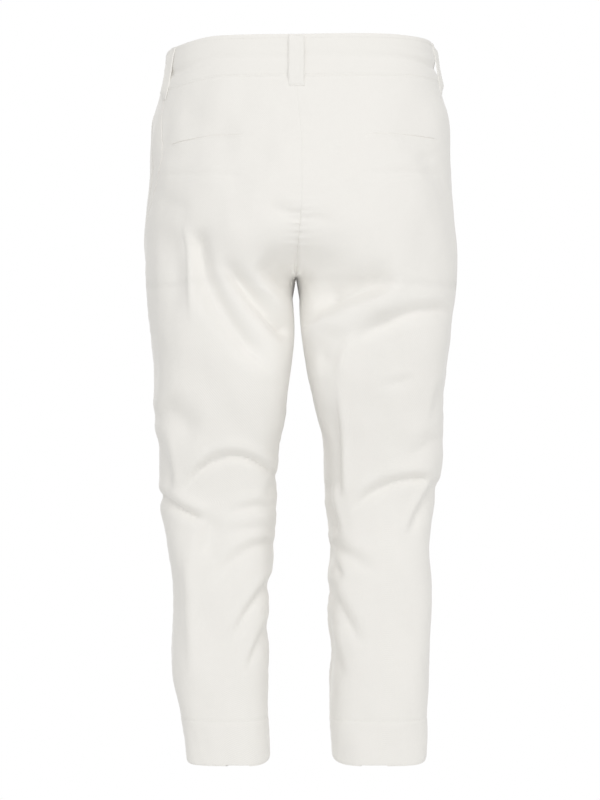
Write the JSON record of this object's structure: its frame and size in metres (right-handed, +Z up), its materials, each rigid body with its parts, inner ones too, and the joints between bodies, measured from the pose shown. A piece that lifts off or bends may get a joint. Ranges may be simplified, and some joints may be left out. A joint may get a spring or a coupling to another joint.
{
  "type": "capri trousers",
  "caption": "Slim capri trousers in off-white stretch twill, worn and hollow, with a shaped waistband, belt loops, welt back pockets and turned hems.",
  "frame": {"origin": "middle of the waistband ring at half the waistband's height, where the wearer's waist holds the garment", "axes": "+Z up along the wearer, -Y the wearer's front, +X the wearer's left"},
  "size_m": [0.3545, 0.2534, 0.8138],
  "materials": {
    "cloth": "matt cotton twill with a little stretch, garment washed",
    "button": "satin resin, tone on tone"
  },
  "bodies": {
    "root": {"back_left": "cloth", "back_right": "cloth", "front_left": "cloth", "front_right": "cloth", "pocket_facing_left": "cloth", "pocket_facing_right": "cloth", "waistband_left": "cloth", "waistband_right": "cloth", "back_welt_left": "cloth", "back_welt_right": "cloth", "belt_loop_back": "cloth", "belt_loop_side_left": "cloth", "belt_loop_side_right": "cloth", "belt_loop_front_left": "cloth", "belt_loop_front_right": "cloth", "fly_guard": "cloth", "waist_button": "button"}
  },
  "joints": []
}
